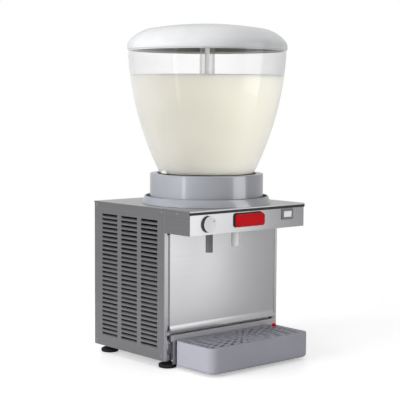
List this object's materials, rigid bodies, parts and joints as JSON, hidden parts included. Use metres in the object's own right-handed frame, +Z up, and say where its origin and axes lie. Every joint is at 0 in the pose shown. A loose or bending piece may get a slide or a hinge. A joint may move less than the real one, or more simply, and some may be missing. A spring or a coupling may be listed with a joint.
{
  "type": "cold drink dispenser",
  "caption": "Counter-top cold drink dispenser: a clear round bowl with a domed lid over a refrigerated cabinet with louvred sides, a push tap with spout and a lift-out drip tray.",
  "frame": {"origin": "on the counter under the middle of the outline", "axes": "+Z up, +X to the right as seen from the tap side, +Y from the tap to the back"},
  "size_m": [0.357, 0.383, 0.7455],
  "materials": {
    "cabinet_steel": "fine brushed, satin",
    "top_steel": "satin",
    "front_steel": "fine brushed, satin",
    "housing_grey": "satin grey paint",
    "inner_steel": "plain galvanised",
    "trim_black": "matt",
    "screw_steel": "plain",
    "collar_grey": "satin metallic grey",
    "seal_black": "soft matt",
    "foot_rubber": "matt",
    "bowl_clear": "clear, polished",
    "lid_white": "smooth white",
    "liner_dark": "matt",
    "dome_steel": "polished",
    "copper_pipe": "bare copper",
    "motor_steel": "satin",
    "pump_clear": "clear",
    "mixer_white": "satin white",
    "tap_red": "smooth red",
    "tube_silicone": "translucent silicone",
    "spout_pale": "satin off-white",
    "drain_grey": "satin",
    "knob_black": "satin black",
    "compressor_black": "gloss black enamel",
    "condenser_fins": "bare fins",
    "fan_plastic": "matt",
    "tray_grey": "fine textured grey",
    "grid_grey": "satin grey"
  },
  "bodies": {
    "cabinet": {"side_panel_left": "cabinet_steel", "side_panel_right": "cabinet_steel", "rear_panel": "cabinet_steel", "top_plate": "top_steel", "fascia_front": "front_steel", "splash_panel": "front_steel", "fascia_housing": "housing_grey", "base_pan": "inner_steel", "kick_panel": "inner_steel", "tray_bracket": "inner_steel", "tap_frame": "inner_steel", "fan_shroud": "inner_steel", "top_edge_trim": "trim_black", "cord_gland": "trim_black", "switch_case": "trim_black", "thermostat": "trim_black", "side_screws": "screw_steel", "rear_screws": "screw_steel", "kick_screws": "screw_steel", "tap_springs": "screw_steel", "collar": "collar_grey", "collar_gutter": "collar_grey", "bowl_seal": "seal_black", "hub_seal": "seal_black", "compressor_grommets": "seal_black", "evaporator_dome": "dome_steel", "dome_flange": "dome_steel", "evaporator_coil": "copper_pipe", "refrigerant_pipes": "copper_pipe", "mixer_motor": "motor_steel", "fan_motor": "motor_steel", "pump_housing": "pump_clear", "riser_tube": "pump_clear", "drink_tube": "tube_silicone", "spout": "spout_pale", "drain_tube": "drain_grey", "compressor": "compressor_black", "condenser": "condenser_fins"},
    "bowl": {"bowl": "bowl_clear"},
    "lid": {"lid": "lid_white", "lid_liner": "liner_dark"},
    "mixer_rotor": {"drive_magnet": "motor_steel"},
    "impeller": {"impeller": "mixer_white"},
    "fan": {"condenser_fan": "fan_plastic"},
    "tap_slider": {"push_plate": "tap_red", "push_block": "trim_black", "tap_rods": "screw_steel", "pinch_jaw": "mixer_white"},
    "knob": {"thermostat_knob": "knob_black", "thermostat_spindle": "screw_steel"},
    "rocker": {"switch_rocker": "spout_pale"},
    "tray": {"drip_tray": "tray_grey"},
    "grid": {"drip_grid": "grid_grey"},
    "float": {"tray_float": "tap_red"},
    "foot_front_left": {"foot_front_left": "foot_rubber"},
    "foot_front_right": {"foot_front_right": "foot_rubber"},
    "foot_rear_left": {"foot_rear_left": "foot_rubber"},
    "foot_rear_right": {"foot_rear_right": "foot_rubber"}
  },
  "joints": [
    {"name": "bowl_lift", "type": "slide", "parent": "cabinet", "child": "bowl", "axis": [0, 0, 1], "range_m": [0, 0.34]},
    {"name": "lid_lift", "type": "slide", "parent": "bowl", "child": "lid", "axis": [0, 0, 1], "range_m": [0, 0.08]},
    {"name": "mixer_spin", "type": "hinge", "parent": "cabinet", "child": "mixer_rotor", "pos_m": [0, -0.004, 0.492], "axis": [0, 0, 1], "continuous": true},
    {"name": "impeller_spin", "type": "hinge", "parent": "cabinet", "child": "impeller", "pos_m": [0, -0.004, 0.517], "axis": [0, 0, 1], "continuous": true},
    {"name": "fan_spin", "type": "hinge", "parent": "cabinet", "child": "fan", "pos_m": [-0.113, 0.0575, 0.133], "axis": [1, 0, 0], "continuous": true},
    {"name": "tap_push", "type": "slide", "parent": "cabinet", "child": "tap_slider", "axis": [0, 1, 0], "range_m": [0, 0.0095], "stiffness_N_per_m": 400, "springref_m": -0.005, "deforming": ["tap_springs"]},
    {"name": "thermostat_turn", "type": "hinge", "parent": "cabinet", "child": "knob", "pos_m": [-0.1238, -0.152, 0.3184], "axis": [0, 1, 0], "range_deg": [0, 270]},
    {"name": "switch_rock", "type": "hinge", "parent": "cabinet", "child": "rocker", "pos_m": [0.117, -0.1427, 0.325], "axis": [0, 0, 1], "range_deg": [0, 14]},
    {"name": "tray_slide", "type": "slide", "parent": "cabinet", "child": "tray", "axis": [0, -1, 0], "range_m": [0, 0.11]},
    {"name": "grid_lift", "type": "slide", "parent": "tray", "child": "grid", "axis": [0, 0, 1], "range_m": [0, 0.05]},
    {"name": "float_rise", "type": "slide", "parent": "tray", "child": "float", "axis": [0, 0, 1], "range_m": [0, 0.02]},
    {"name": "foot_front_left_turn", "type": "hinge", "parent": "cabinet", "child": "foot_front_left", "pos_m": [-0.148, -0.047, 0.02], "axis": [0, 0, 1], "continuous": true},
    {"name": "foot_front_right_turn", "type": "hinge", "parent": "cabinet", "child": "foot_front_right", "pos_m": [0.148, -0.047, 0.02], "axis": [0, 0, 1], "continuous": true},
    {"name": "foot_rear_left_turn", "type": "hinge", "parent": "cabinet", "child": "foot_rear_left", "pos_m": [-0.148, 0.1605, 0.02], "axis": [0, 0, 1], "continuous": true},
    {"name": "foot_rear_right_turn", "type": "hinge", "parent": "cabinet", "child": "foot_rear_right", "pos_m": [0.148, 0.1605, 0.02], "axis": [0, 0, 1], "continuous": true}
  ],
  "couplings": [
    {"joint": "impeller_spin", "follows": "mixer_spin", "ratio": 1}
  ]
}
